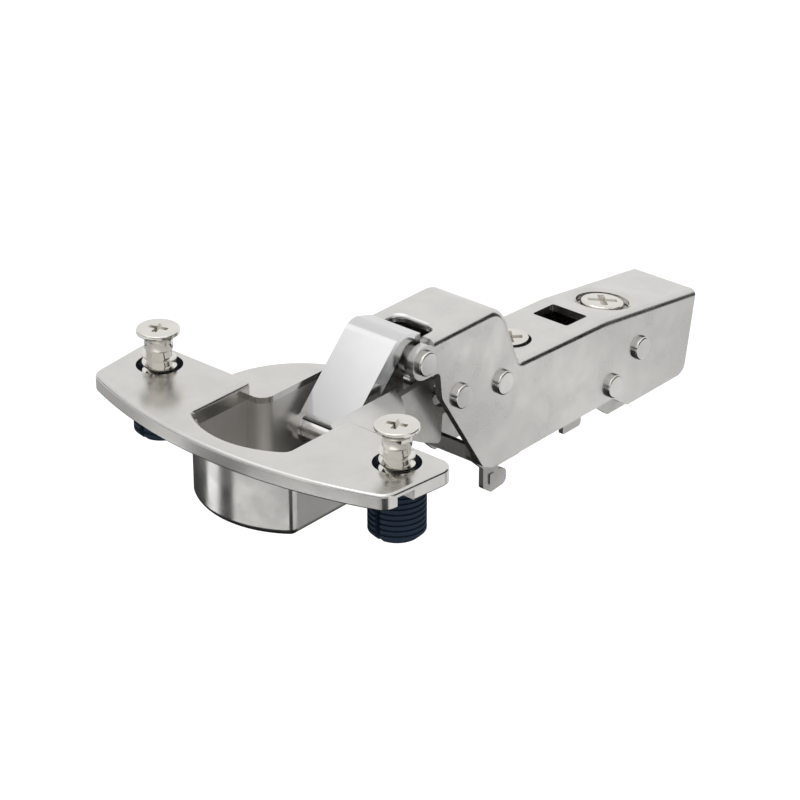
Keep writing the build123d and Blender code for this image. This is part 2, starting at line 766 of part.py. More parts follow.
def build_release_lever():
    """Lever that frees the rear latch: two eyes, a web and a finger pad at the rear end."""
    half = lever_width / 2
    side = Pos(*lever_pivot) * outline(lever_corners, lever_corner_radii)
    body = slab(side, -half, half)
    hollow = Pos(-lever_sheet, lever_hollow_lift) * side
    body -= slab(hollow, -half + lever_sheet, half - lever_sheet)
    body -= cross_rod(lever_pivot, lever_pin_diameter / 2 + pin_running_gap, far)
    return body


def build_lever_pin():
    """Pin of the release lever, set in the frame's side plates."""
    return cross_rod(lever_pivot, lever_pin_diameter / 2, frame_width / 2)


def build_lever_spring():
    """Small coil spring round the lever's pin."""
    x, z = lever_pivot
    radius = (lever_spring_diameter - lever_spring_wire) / 2
    coils = None
    for i in range(lever_spring_turns):
        y = (i - (lever_spring_turns - 1) / 2) * lever_spring_wire
        ring = Pos(x, y, z) * Rot(90, 0, 0) * Torus(radius, lever_spring_wire / 2 + spring_touch)
        coils = ring if coils is None else coils + ring
    return coils


# ------------------------------------------------------------ nodes

save("hinge_cup", build_cup())
save("cup_pin_outer", build_cup_pin(cup_front_pivot))
save("cup_pin_inner", build_cup_pin(cup_rear_pivot))
for name, side in (("left", 1), ("right", -1)):
    save(f"dowel_{name}", build_dowel(side))
    save(f"fixing_screw_{name}", build_fixing_screw(side))
save("outer_link", build_outer_link())
save("inner_link", build_inner_link())
save("hinge_arm", build_arm())
save("arm_pin_front", build_riveted_pin(arm_front_pivot, arm_pin_diameter / 2))
inside = half_arm - arm_sheet
middle_waist = arm_pin_shoulder_diameter / 2
save("arm_pin_middle", build_riveted_pin(arm_middle_pivot, arm_pin_diameter / 2, middle_waist, inside))
save("arm_pin_rear", build_riveted_pin(arm_rear_pivot, arm_pin_diameter / 2, spring_pin_waist / 2, inside))
save("stop_rivet", build_riveted_pin(stop_rivet_place, arm_pin_diameter / 2))
save("adjuster_pin", build_riveted_pin(adjuster_pivot, arm_pin_diameter / 2))
save("closing_spring", build_closing_spring())
save("clip_frame", build_clip_frame())
save("side_screw", build_side_screw())
save("depth_screw", build_depth_screw())
save("release_lever", build_release_lever())
save("lever_pin", build_lever_pin())
save("lever_spring", build_lever_spring())
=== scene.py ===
# %% [markdown]
# # A concealed cup hinge, dressed for a studio picture
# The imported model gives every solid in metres, in one frame: the origin is the centre of the
# cup bore on the door's inner face, +Z points away from the door and +X runs to the arm's rear.
# This lesson loads those solids, makes the fixing screws and the springs again with finer shapes,
# gives every piece a plated or moulded finish from nodes, and lights the whole like a product shot.

# %% Load the frame
import json
import math

import bmesh
import bpy
from mathutils import Matrix, Vector


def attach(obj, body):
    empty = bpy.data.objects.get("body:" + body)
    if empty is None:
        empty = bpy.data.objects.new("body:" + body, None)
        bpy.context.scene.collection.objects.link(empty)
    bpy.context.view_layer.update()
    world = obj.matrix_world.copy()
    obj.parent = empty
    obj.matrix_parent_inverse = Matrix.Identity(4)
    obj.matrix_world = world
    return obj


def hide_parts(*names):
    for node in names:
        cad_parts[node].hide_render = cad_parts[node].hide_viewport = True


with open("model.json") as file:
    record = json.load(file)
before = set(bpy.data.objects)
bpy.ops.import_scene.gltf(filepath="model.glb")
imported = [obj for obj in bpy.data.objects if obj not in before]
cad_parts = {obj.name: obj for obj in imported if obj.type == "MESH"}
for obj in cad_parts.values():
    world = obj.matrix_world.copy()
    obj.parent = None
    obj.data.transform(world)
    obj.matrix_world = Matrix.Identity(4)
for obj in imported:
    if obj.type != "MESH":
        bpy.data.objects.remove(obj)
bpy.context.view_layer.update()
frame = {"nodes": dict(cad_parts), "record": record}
nodes = frame["nodes"]
MM = 0.001

# %% [markdown]
# ## Helpers for turned pieces
# A screw is turned on a lathe. It could be a cylinder with loop cuts, but one profile line and
# bmesh.ops.spin do what the lathe does, and each piece stays a list of (radius, height) steps
# that reads like the maker's drawing.

# %% Turned shapes
SPIN_STEPS = 64
ROUND_STEPS = 4
MERGE_DISTANCE = 1e-7


def turned(profile):
    """A closed solid of revolution about Z from (radius, height) steps in millimetres, top down."""
    bm = bmesh.new()
    verts = [bm.verts.new((r * MM, 0, z * MM)) for r, z in profile]
    edges = [bm.edges.new(pair) for pair in zip(verts, verts[1:])]
    bmesh.ops.spin(bm, geom=verts + edges, cent=(0, 0, 0), axis=(0, 0, 1), angle=math.tau,
                   steps=SPIN_STEPS, use_merge=True)
    bmesh.ops.remove_doubles(bm, verts=bm.verts, dist=MERGE_DISTANCE)
    bmesh.ops.recalc_face_normals(bm, faces=bm.faces)
    return bm


def rounded(corner_r, corner_z, radius):
    """Quarter-round steps at an upper outer corner, so that the rim catches light."""
    middle_r, middle_z = corner_r - radius, corner_z - radius
    arc = [math.pi / 2 * i / ROUND_STEPS for i in range(ROUND_STEPS + 1)]
    return [(middle_r + radius * math.sin(a), middle_z + radius * math.cos(a)) for a in arc]


print("a turned piece has", SPIN_STEPS, "steps round its axis")

# %% [markdown]
# ## From a bmesh to an object
# Every new piece ends as an object at the origin with its place in its mesh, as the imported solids
# have. Sheet and screw metal bends softly but keeps its corners, so faces are shaded smooth and
# only edges over a set angle stay sharp.

# %% Objects, smooth faces and cuts
SMOOTH_ANGLE = 40


def linked(name, bm):
    """Turns a bmesh into an object of the scene."""
    mesh = bpy.data.meshes.new(name)
    bm.to_mesh(mesh)
    bm.free()
    obj = bpy.data.objects.new(name, mesh)
    bpy.context.collection.objects.link(obj)
    return obj


def smoothed(mesh):
    """Shades a mesh smooth and keeps its real corners sharp."""
    mesh.shade_smooth()
    mesh.set_sharp_from_angle(angle=math.radians(SMOOTH_ANGLE))


def piece(name, bm, place, turn=Matrix.Identity(4)):
    """Turns a bmesh into a smooth object; its place, in millimetres, goes into its mesh."""
    bmesh.ops.transform(bm, matrix=Matrix.Translation(Vector(place) * MM) @ turn, verts=bm.verts)
    obj = linked(name, bm)
    smoothed(obj.data)
    return obj


def cut(obj, tool):
    """Takes the tool's shape away from the object and deletes the tool."""
    modifier = obj.modifiers.new("cut", "BOOLEAN")
    modifier.operation = "DIFFERENCE"
    modifier.solver = "EXACT"
    modifier.use_self = True
    modifier.object = tool
    depsgraph = bpy.context.evaluated_depsgraph_get()
    mesh = bpy.data.meshes.new_from_object(obj.evaluated_get(depsgraph))
    obj.modifiers.clear()
    obj.data = mesh
    bpy.data.objects.remove(tool)
    smoothed(mesh)


print("edges over", SMOOTH_ANGLE, "degrees stay sharp")

# %% [markdown]
# ## Threads and coils
# A thread is one small section carried round and down at the same time. A stack of rings would be
# simpler but never climbs. The spin operator does both moves: dvec shifts the section a little
# along the axis at each step. A coil spring is the same with a round section.

# %% Helical sweeps
STEPS_PER_TURN = 40
WIRE_SIDES = 12


def helix(section, pitch, turns):
    """Sweeps a closed (radius, height) section in millimetres down a helix, its ends closed."""
    bm = bmesh.new()
    verts = [bm.verts.new((r * MM, 0, z * MM)) for r, z in section]
    edges = [bm.edges.new((verts[i], verts[(i + 1) % len(verts)])) for i in range(len(verts))]
    steps = round(STEPS_PER_TURN * turns)
    swept = bmesh.ops.spin(bm, geom=verts + edges, cent=(0, 0, 0), axis=(0, 0, 1),
                           angle=math.tau * turns, steps=steps,
                           dvec=(0, 0, -pitch * turns / steps * MM), use_merge=False)
    bm.faces.new(verts)
    bm.faces.new([v for v in swept["geom_last"] if isinstance(v, bmesh.types.BMVert)])
    bmesh.ops.recalc_face_normals(bm, faces=bm.faces)
    return bm


def wound(radius, wire, turns, sides=WIRE_SIDES):
    """A close-wound coil about Z, centred on the origin; the radius is to the wire's middle."""
    section = [(radius + wire / 2 * math.cos(math.tau * i / sides),
                wire / 2 * math.sin(math.tau * i / sides)) for i in range(sides)]
    coil = helix(section, wire, turns)
    bmesh.ops.translate(coil, vec=(0, 0, turns * wire / 2 * MM), verts=coil.verts)
    return coil


def rod(bm, wire, length):
    """A straight length of wire along Z in a bmesh; returns its vertices."""
    return bmesh.ops.create_cone(bm, cap_ends=True, segments=WIRE_SIDES, radius1=wire / 2 * MM,
                                 radius2=wire / 2 * MM, depth=length * MM)["verts"]


print("a helix has", STEPS_PER_TURN, "steps in each turn")

# %% [markdown]
# ## Cross recess
# The driver's cross has four tapered wings, stamped into the head. A cube is stretched to a pair
# of wings and narrowed at its lower end, and two such cubes make the cutter.

# %% Cross cutter
CUTTER_RISE = 0.4
WING_FOOT = (0.45, 0.7, 1)


def cross_tool(span, width, depth, top, place, turn):
    """Cutter for a driver cross: two crossed wings that narrow downwards, from over the top."""
    tool = bmesh.new()
    for quarter in (0, 1):
        wing = bmesh.ops.create_cube(tool, size=1.0)["verts"]
        size = (span * MM, width * MM, (depth + CUTTER_RISE) * MM)
        bmesh.ops.scale(tool, vec=size, verts=wing)
        bmesh.ops.scale(tool, vec=WING_FOOT, verts=[v for v in wing if v.co.z < 0])
        angle = math.radians(90 * quarter + turn)
        bmesh.ops.rotate(tool, matrix=Matrix.Rotation(angle, 3, "Z"), verts=wing)
        middle = (top - depth / 2 + CUTTER_RISE / 2) * MM
        bmesh.ops.translate(tool, vec=(0, 0, middle), verts=wing)
    return piece("cross_cutter", tool, place)


print("the cutter stands", CUTTER_RISE, "mm over the head")

# %% [markdown]
# ## Fixing screws
# Each screw is delivered raised: a thin countersunk head, a plain neck, and a coarse thread that
# already bites into the dowel. The core is turned, the thread is a helix sunk a little into it,
# and the cross is cut last, as in the real head.

# %% Sizes of the fixing screws
# Millimetres, and degrees for the turn of the cross.
HEAD_R, HEAD_T, HEAD_CONE, HEAD_LAND = 3.65, 0.9, 0.9, 0.5
HEAD_ROUND, HEAD_CHAMFER_IN, HEAD_CHAMFER_UP, LAND_FALL = 0.28, 0.25, 0.2, 0.1
NECK_R, NECK_CHAMFER, CORE_R, TIP_CHAMFER = 2.4, 0.3, 2.15, 0.4
THREAD_R, THREAD_PITCH, THREAD_START, THREAD_ENDS = 2.9, 1.6, 0.5, 1.2
RIDGE_FOOT, RIDGE_CREST, RIDGE_SINK = 0.3, 0.1, 0.05
HEAD_TOP, THREAD_TOP, SCREW_TIP = 9.5, 6.0, -2.1
CROSS_SPAN, CROSS_WIDTH, CROSS_DEPTH, CROSS_TURN = 3.9, 0.95, 1.5, 20
SCREW_X, SCREW_Y = -5.5, 26.0
print("screw length:", round(HEAD_TOP - SCREW_TIP, 2), "mm")

# %% Fixing screws


def screw_profile():
    """The core's outline from the head's middle down to the tip's."""
    head_foot = HEAD_TOP - HEAD_T
    return [
        (0, HEAD_TOP),
        *rounded(HEAD_R, HEAD_TOP, HEAD_ROUND),
        (HEAD_R, head_foot + HEAD_CHAMFER_UP), (HEAD_R - HEAD_CHAMFER_IN, head_foot),
        (HEAD_R - HEAD_LAND, head_foot - LAND_FALL), (NECK_R, head_foot - HEAD_CONE),
        (NECK_R, THREAD_TOP), (CORE_R, THREAD_TOP - NECK_CHAMFER),
        (CORE_R, SCREW_TIP + TIP_CHAMFER), (CORE_R - TIP_CHAMFER, SCREW_TIP), (0, SCREW_TIP)]


def screw_thread():
    """The thread's ridge, wound down the core."""
    foot = CORE_R - RIDGE_SINK
    ridge = [(foot, RIDGE_FOOT), (THREAD_R, RIDGE_CREST), (THREAD_R, -RIDGE_CREST),
             (foot, -RIDGE_FOOT)]
    turns = (THREAD_TOP - SCREW_TIP - THREAD_ENDS) / THREAD_PITCH
    thread = helix(ridge, THREAD_PITCH, turns)
    bmesh.ops.translate(thread, vec=(0, 0, (THREAD_TOP - THREAD_START) * MM), verts=thread.verts)
    return thread


def fixing_screw(name, y):
    """One raised screw as two objects, the core with its cross and the thread on it."""
    place = (SCREW_X, y, 0)
    screw = piece(name, turned(screw_profile()), place)
    cut(screw, cross_tool(CROSS_SPAN, CROSS_WIDTH, CROSS_DEPTH, HEAD_TOP, place, CROSS_TURN))
    return [screw, piece(name + "_thread", screw_thread(), place)]


screw_pieces = []
for side, y in (("left", SCREW_Y), ("right", -SCREW_Y)):
    made = fixing_screw(f"fixing_screw_{side}_turned", y)
    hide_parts(f"fixing_screw_{side}")
    for part in made:
        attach(part, f"screw_{side}")
    screw_pieces += made
print("fixing screws:", [p.name for p in screw_pieces])

# %% [markdown]
# ## Coil springs
# The closing spring sits round the rear arm pin, and a small one round the lever's pin. A packed
# stack of rings reads as a spring only from far away, so both are wound as real helices. The
# closing spring ends in two legs that a bridge joins.

# %% Closing spring
# Sizes and places are in millimetres.
SPRING_WIRE, SPRING_COIL, SPRING_TURNS, LEG_LENGTH = 1.15, 4.15, 5.0, 6.0
REAR_PIN = (43.5, 0, -8.2)
lay_flat = Matrix.Rotation(math.radians(90), 4, "X") @ Matrix.Rotation(math.radians(180), 4, "Z")
coil = wound(SPRING_COIL / 2, SPRING_WIRE, SPRING_TURNS)
spring_width = SPRING_TURNS * SPRING_WIRE
legs = bmesh.new()
for side in (1, -1):
    leg = rod(legs, SPRING_WIRE, LEG_LENGTH)
    bmesh.ops.translate(legs, verts=leg, vec=(-SPRING_COIL / 2 * MM, side * spring_width / 2 * MM,
                                              -LEG_LENGTH / 2 * MM))
bridge = rod(legs, SPRING_WIRE, spring_width)
bmesh.ops.rotate(legs, matrix=Matrix.Rotation(math.radians(90), 3, "X"), verts=bridge)
bmesh.ops.translate(legs, vec=(-SPRING_COIL / 2 * MM, 0, -LEG_LENGTH * MM), verts=bridge)
closing_coil = piece("closing_spring_coil", coil, REAR_PIN, lay_flat)
closing_legs = piece("closing_spring_legs", legs, REAR_PIN)
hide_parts("closing_spring")
for part in (closing_coil, closing_legs):
    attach(part, "arm")
print("closing spring:", closing_coil.name, closing_legs.name)

# %% Lever spring
LEVER_COIL_R, LEVER_WIRE, LEVER_TURNS, LEVER_WIRE_SIDES = 1.95, 0.7, 4.0, 10
LEVER_PIN = (91.6, 0, -20.2)
small_coil = wound(LEVER_COIL_R, LEVER_WIRE, LEVER_TURNS, LEVER_WIRE_SIDES)
lever_coil = piece("lever_spring_coil", small_coil, LEVER_PIN, lay_flat)
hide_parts("lever_spring")
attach(lever_coil, "clip")
print("lever spring:", lever_coil.name)

# %% [markdown]
# ## A plated finish
# Satin nickel is almost a mirror that has been brushed: bright, slightly warm, with clouds of
# slightly different roughness and a very fine grain. One node group makes colour, roughness and
# height, and every metal places it with its own values.

# %% Helpers for node trees


def new_group(name, inputs, outputs):
    """A shader node group with named sockets; inputs are (name, socket kind, default)."""
    group = bpy.data.node_groups.new(name, "ShaderNodeTree")
    for label, kind, value in inputs:
        socket = group.interface.new_socket(label, in_out="INPUT", socket_type=kind)
        socket.default_value = value
    for label, kind in outputs:
        group.interface.new_socket(label, in_out="OUTPUT", socket_type=kind)
    return group, group.nodes.new("NodeGroupInput"), group.nodes.new("NodeGroupOutput")


def mixed(tree, kind, factor, first, second):
    """A Mix node fed from sockets; returns its output."""
    mix = tree.nodes.new("ShaderNodeMix")
    mix.data_type = kind
    pair = {"FLOAT": (2, 3, 0), "RGBA": (6, 7, 2)}[kind]
    tree.links.new(factor, mix.inputs[0])
    tree.links.new(first, mix.inputs[pair[0]])
    tree.links.new(second, mix.inputs[pair[1]])
    return mix.outputs[pair[2]]


def noise(tree, coords, detail, scale):
    """A noise on the piece itself whose scale comes from a socket; returns its output."""
    texture = tree.nodes.new("ShaderNodeTexNoise")
    texture.inputs["Detail"].default_value = detail
    tree.links.new(coords, texture.inputs["Vector"])
    tree.links.new(scale, texture.inputs["Scale"])
    return texture.outputs["Fac"]


print("helpers for groups, mixes and noises are ready")

# %% Node group for plating
CLOUD_SCALE, CLOUD_DETAIL, CLOUD_LOW, CLOUD_HIGH = 180.0, 4.0, 0.35, 0.65
GRAIN_SCALE, GRAIN_DETAIL = 6000.0, 3.0
plating, plate_in, plate_out = new_group(
    "plating",
    [("Bright", "NodeSocketColor", (0.8, 0.8, 0.8, 1)),
     ("Dull", "NodeSocketColor", (0.7, 0.7, 0.7, 1)),
     ("Smooth", "NodeSocketFloat", 0.2), ("Rough", "NodeSocketFloat", 0.3),
     ("Cloud Scale", "NodeSocketFloat", CLOUD_SCALE),
     ("Grain Scale", "NodeSocketFloat", GRAIN_SCALE)],
    [("Color", "NodeSocketColor"), ("Roughness", "NodeSocketFloat"),
     ("Height", "NodeSocketFloat")])
on_piece = plating.nodes.new("ShaderNodeTexCoord").outputs["Object"]
clouds = noise(plating, on_piece, CLOUD_DETAIL, plate_in.outputs["Cloud Scale"])
grain = noise(plating, on_piece, GRAIN_DETAIL, plate_in.outputs["Grain Scale"])
spread = plating.nodes.new("ShaderNodeMapRange")
spread.inputs["From Min"].default_value = CLOUD_LOW
spread.inputs["From Max"].default_value = CLOUD_HIGH
plating.links.new(clouds, spread.inputs["Value"])
for kind, first, second, target in (("RGBA", "Bright", "Dull", "Color"),
                                    ("FLOAT", "Smooth", "Rough", "Roughness")):
    blended = mixed(plating, kind, spread.outputs[0], plate_in.outputs[first],
                    plate_in.outputs[second])
    plating.links.new(blended, plate_out.inputs[target])
plating.links.new(grain, plate_out.inputs["Height"])
print("group:", plating.name, "with", len(plating.nodes), "nodes")

# %% Metals
BUMP_STRENGTH, BUMP_DISTANCE = 0.02, 0.0001


def metal(name, bright, dull, smooth, rough):
    """A metal that takes its colour, roughness and grain from the plating group."""
    material = bpy.data.materials.new(name)
    material.use_nodes = True
    tree = material.node_tree
    shader = tree.nodes["Principled BSDF"]
    shader.inputs["Metallic"].default_value = 1.0
    finish = tree.nodes.new("ShaderNodeGroup")
    finish.node_tree = plating
    for label, value in (("Bright", (*bright, 1)), ("Dull", (*dull, 1)), ("Smooth", smooth),
                         ("Rough", rough), ("Cloud Scale", CLOUD_SCALE),
                         ("Grain Scale", GRAIN_SCALE)):
        finish.inputs[label].default_value = value
    relief = tree.nodes.new("ShaderNodeBump")
    relief.inputs["Strength"].default_value = BUMP_STRENGTH
    relief.inputs["Distance"].default_value = BUMP_DISTANCE
    tree.links.new(finish.outputs["Height"], relief.inputs["Height"])
    tree.links.new(relief.outputs["Normal"], shader.inputs["Normal"])
    tree.links.new(finish.outputs["Color"], shader.inputs["Base Color"])
    tree.links.new(finish.outputs["Roughness"], shader.inputs["Roughness"])
    return material


satin_sheet = metal("satin_nickel_sheet", (0.64, 0.63, 0.61), (0.60, 0.59, 0.57), 0.22, 0.28)
satin_casting = metal("satin_nickel_casting", (0.64, 0.628, 0.605), (0.60, 0.588, 0.567),
                      0.18, 0.25)
polished_link = metal("polished_nickel", (0.64, 0.64, 0.64), (0.62, 0.62, 0.62), 0.12, 0.17)
rivet_steel = metal("rivet_nickel", (0.66, 0.65, 0.63), (0.62, 0.61, 0.59), 0.16, 0.22)
screw_nickel = metal("screw_nickel", (0.72, 0.70, 0.66), (0.66, 0.64, 0.60), 0.12, 0.18)
# A darker copy of the sheet nickel: its colour is painted shade for the parts inside the arm.
shaded_inner_steel = metal("inner_sheet_painted_shade", (0.52, 0.51, 0.49), (0.45, 0.44, 0.42), 0.26, 0.34)
spring_wire_steel = metal("spring_wire", (0.45, 0.44, 0.42), (0.36, 0.35, 0.33), 0.25, 0.35)
print("metals on the plating group:", plating.users)

# %% [markdown]
# ## The cast pocket
# Inside the cup the casting is left as it came from the mould, so its walls scatter light. A
# second material would need the mesh split. A mask by radius and height roughens the same one.

# %% Pocket mask
POCKET_RADIUS, POCKET_TOP, POCKET_ROUGHNESS = 0.0168, -0.0004, 0.48


def under(tree, value, limit):
    """A mask that is 1 where a value lies under a limit."""
    test = tree.nodes.new("ShaderNodeMath")
    test.operation = "LESS_THAN"
    test.inputs[1].default_value = limit
    tree.links.new(value, test.inputs[0])
    return test.outputs[0]


def pocket_mask(tree):
    """A mask of what lies inside the pocket's radius and below its top."""
    where = tree.nodes.new("ShaderNodeTexCoord")
    split = tree.nodes.new("ShaderNodeSeparateXYZ")
    flat = tree.nodes.new("ShaderNodeCombineXYZ")
    reach = tree.nodes.new("ShaderNodeVectorMath")
    reach.operation = "LENGTH"
    tree.links.new(where.outputs["Object"], split.inputs[0])
    for axis in "XY":
        tree.links.new(split.outputs[axis], flat.inputs[axis])
    tree.links.new(flat.outputs[0], reach.inputs[0])
    both = tree.nodes.new("ShaderNodeMath")
    both.operation = "MULTIPLY"
    tree.links.new(under(tree, reach.outputs["Value"], POCKET_RADIUS), both.inputs[0])
    tree.links.new(under(tree, split.outputs["Z"], POCKET_TOP), both.inputs[1])
    return both.outputs[0]


tree = satin_casting.node_tree
roughness = tree.nodes["Principled BSDF"].inputs["Roughness"]
rougher = tree.nodes.new("ShaderNodeMix")
rougher.inputs[3].default_value = POCKET_ROUGHNESS
tree.links.new(pocket_mask(tree), rougher.inputs[0])
tree.links.new(roughness.links[0].from_socket, rougher.inputs[2])
tree.links.new(rougher.outputs[0], roughness)
print("pocket: rougher within", POCKET_RADIUS, "m of the cup's axis")

# %% [markdown]
# ## Dowel plastic
# The dowels are moulded in a blue-black nylon: a soft sheen, faint mottling and no metal. Two
# close colours on a fine noise are enough, because the ribs carry the look.

# %% Dowel plastic
MOTTLE_SCALE, DOWEL_ROUGHNESS, DOWEL_SHEEN = 900.0, 0.6, 0.08
DOWEL_COLORS = ((0.012, 0.021, 0.036, 1), (0.020, 0.033, 0.056, 1))
dowel_plastic = bpy.data.materials.new("dowel_nylon")
dowel_plastic.use_nodes = True
tree = dowel_plastic.node_tree
shader = tree.nodes["Principled BSDF"]
on_dowel = tree.nodes.new("ShaderNodeTexCoord")
mottle = tree.nodes.new("ShaderNodeTexNoise")
mottle.inputs["Scale"].default_value = MOTTLE_SCALE
tree.links.new(on_dowel.outputs["Object"], mottle.inputs["Vector"])
ramp = tree.nodes.new("ShaderNodeValToRGB")
for stop, color in zip(ramp.color_ramp.elements, DOWEL_COLORS):
    stop.color = color
tree.links.new(mottle.outputs["Fac"], ramp.inputs["Fac"])
tree.links.new(ramp.outputs["Color"], shader.inputs["Base Color"])
shader.inputs["Roughness"].default_value = DOWEL_ROUGHNESS
shader.inputs["Specular IOR Level"].default_value = DOWEL_SHEEN
print("plastic:", dowel_plastic.name)

# %% [markdown]
# ## Finishes on the solids
# Each imported piece names the material it is made of, so one table gives most of them their
# finish. The clip frame and the inner link are the same sheet, but they get a darker colour of
# their own, which is painted shade for the shade inside the arm.

# %% Finishes on the solids
FINISH = {
    "nickel_sheet": satin_sheet,
    "nickel_casting": satin_casting,
    "bright_link": polished_link,
    "pin_steel": rivet_steel,
    "screw_steel": screw_nickel,
    "spring_steel": spring_wire_steel,
    "dowel_plastic": dowel_plastic,
}
SLOT_OF = {part["node"]: part["material_slot"] for part in frame["record"]["subparts"]}
# The clip frame and the inner link take the darker nickel, which is painted shade inside the arm.
PAINTED_SHADE_FINISH = {"clip_frame": shaded_inner_steel, "inner_link": shaded_inner_steel}
for name, obj in nodes.items():
    finish = PAINTED_SHADE_FINISH.get(name, FINISH[SLOT_OF[name]])
    if not obj.material_slots:
        obj.data.materials.append(finish)
    for slot in obj.material_slots:
        slot.material = finish
for part in screw_pieces:
    part.data.materials.clear()
    part.data.materials.append(screw_nickel)
for part in (closing_coil, closing_legs, lever_coil):
    part.data.materials.append(spring_wire_steel)
print("finishes:", sorted(FINISH))

# %% [markdown]
# ## Stage
# A product shot on white: a pale floor well below the hinge, a white surround, one broad soft
# sun, and cards round the hinge. Polished metal has no colour of its own, so the dark lines along
# its folds are the cards seen in it.

# %% Floor
FLOOR_SIDE, FLOOR_Z = 30.0, -0.09
FLOOR_COLOR, WHITE = (0.80, 0.80, 0.80), (1.0, 1.0, 1.0)


def floor_material(name, color, camera_color):
    """Plain matte; camera_color is what the camera sees instead, with the same shadows."""
    material = bpy.data.materials.new(name)
    material.use_nodes = True
    tree = material.node_tree
    shader = tree.nodes["Principled BSDF"]
    shader.inputs["Roughness"].default_value = 1.0
    shader.inputs["Specular IOR Level"].default_value = 0.0
    path = tree.nodes.new("ShaderNodeLightPath")
    mix = tree.nodes.new("ShaderNodeMix")
    mix.data_type = "RGBA"
    mix.inputs[6].default_value = (*color, 1)
    mix.inputs[7].default_value = (*camera_color, 1)
    tree.links.new(path.outputs["Is Camera Ray"], mix.inputs[0])
    tree.links.new(mix.outputs[2], shader.inputs["Base Color"])
    return material


def plane(name, width, depth, place, turn=Matrix.Identity(4)):
    """A rectangle in metres, turned and then put in its place."""
    bm = bmesh.new()
    bmesh.ops.create_grid(bm, x_segments=1, y_segments=1, size=0.5)
    bmesh.ops.scale(bm, vec=(width, depth, 1), verts=bm.verts)
    bmesh.ops.transform(bm, matrix=Matrix.Translation(place) @ turn, verts=bm.verts)
    return linked(name, bm)


floor = plane("floor", FLOOR_SIDE, FLOOR_SIDE, (0.0, 0.0, FLOOR_Z))
floor.data.materials.append(floor_material("floor_white", FLOOR_COLOR, WHITE))
print("floor:", FLOOR_Z, "m")

# %% [markdown]
# ## Surround and sun
# The background and what the metal mirrors are pure white, while the light that falls on matt
# faces is a little weaker. Light Path tells the two apart. A sun as wide as a big soft box gives
# the shadows their direction.

# %% World
SURROUND_LIGHT, SURROUND_SEEN = 0.95, 1.0


def background(tree, strength):
    """White light of one strength from all round; returns its output."""
    light = tree.nodes.new("ShaderNodeBackground")
    light.inputs["Color"].default_value = (1, 1, 1, 1)
    light.inputs["Strength"].default_value = strength
    return light.outputs[0]


world = bpy.data.worlds.new("white_surround")
bpy.context.scene.world = world
world.use_nodes = True
tree = world.node_tree
tree.nodes.clear()
out = tree.nodes.new("ShaderNodeOutputWorld")
path = tree.nodes.new("ShaderNodeLightPath")
seen = tree.nodes.new("ShaderNodeMath")
seen.operation = "MAXIMUM"
tree.links.new(path.outputs["Is Camera Ray"], seen.inputs[0])
tree.links.new(path.outputs["Is Glossy Ray"], seen.inputs[1])
blend = tree.nodes.new("ShaderNodeMixShader")
tree.links.new(seen.outputs[0], blend.inputs[0])
tree.links.new(background(tree, SURROUND_LIGHT), blend.inputs[1])
tree.links.new(background(tree, SURROUND_SEEN), blend.inputs[2])
tree.links.new(blend.outputs[0], out.inputs["Surface"])
print("surround:", SURROUND_LIGHT, "as light,", SURROUND_SEEN, "as seen")

# %% Sun
SUN_STRENGTH, SUN_WIDTH, SUN_AIM = 0.8, 50, (0.25, -0.05, -0.95)
sun_data = bpy.data.lights.new("soft_sun", "SUN")
sun_data.energy = SUN_STRENGTH
sun_data.angle = math.radians(SUN_WIDTH)
sun = bpy.data.objects.new("soft_sun", sun_data)
bpy.context.collection.objects.link(sun)
sun.rotation_euler = Vector(SUN_AIM).to_track_quat("-Z", "Y").to_euler()
print("sun:", SUN_STRENGTH, "over", SUN_WIDTH, "degrees")

# %% [markdown]
# ## Cards
# A mirror finish shows its surroundings, so the studio is drawn as the metal sees it. Upright cards
# stand in the direction that rounded folds reflect. Sectors lie on the floor below the cup, because
# each strip of an upright round wall looks down at a different sector: a bright one beside a dark
# one makes the streak of a polished tube. All of them are seen only in reflections.

# %% Cards seen only in reflections


def card_material(name, near, far=None, start=0.0, end=1.0, axis="Y"):
    """Even glow, or one that runs from near to far along an axis between start and end."""
    material = bpy.data.materials.new(name)
    material.use_nodes = True
    tree = material.node_tree
    tree.nodes.clear()
    out = tree.nodes.new("ShaderNodeOutputMaterial")
    glow = tree.nodes.new("ShaderNodeEmission")
    glow.inputs["Color"].default_value = (near, near, near, 1)
    tree.links.new(glow.outputs[0], out.inputs["Surface"])
    if far is not None:
        coords = tree.nodes.new("ShaderNodeTexCoord")
        split = tree.nodes.new("ShaderNodeSeparateXYZ")
        fade = tree.nodes.new("ShaderNodeMapRange")
        for label, value in (("From Min", start), ("From Max", end),
                             ("To Min", near), ("To Max", far)):
            fade.inputs[label].default_value = value
        tree.links.new(coords.outputs["Object"], split.inputs[0])
        tree.links.new(split.outputs[axis], fade.inputs["Value"])
        tree.links.new(fade.outputs[0], glow.inputs["Color"])
    return material


def only_in_reflections(obj, material):
    """Gives a card its glow and hides it from the camera, from matt faces and from shadows."""
    obj.data.materials.append(material)
    obj.visible_camera = False
    obj.visible_diffuse = False
    obj.visible_shadow = False


print("cards are ready: no camera, no matt light, no shadow")

# %% Upright cards
DARK, CARD_DISTANCE = 0.01, 0.3


def card(name, azimuth, low, high, width, shade=DARK):
    """Upright card round the horizon, from one elevation to another in degrees."""
    a = math.radians(azimuth)
    z0, z1 = (CARD_DISTANCE * math.tan(math.radians(e)) for e in (low, high))
    upright = Matrix.Rotation(a + math.pi / 2, 4, "Z") @ Matrix.Rotation(math.pi / 2, 4, "X")
    place = (CARD_DISTANCE * math.cos(a), CARD_DISTANCE * math.sin(a), (z0 + z1) / 2)
    obj = plane(name, width, z1 - z0, place, upright)
    only_in_reflections(obj, card_material(name, shade))


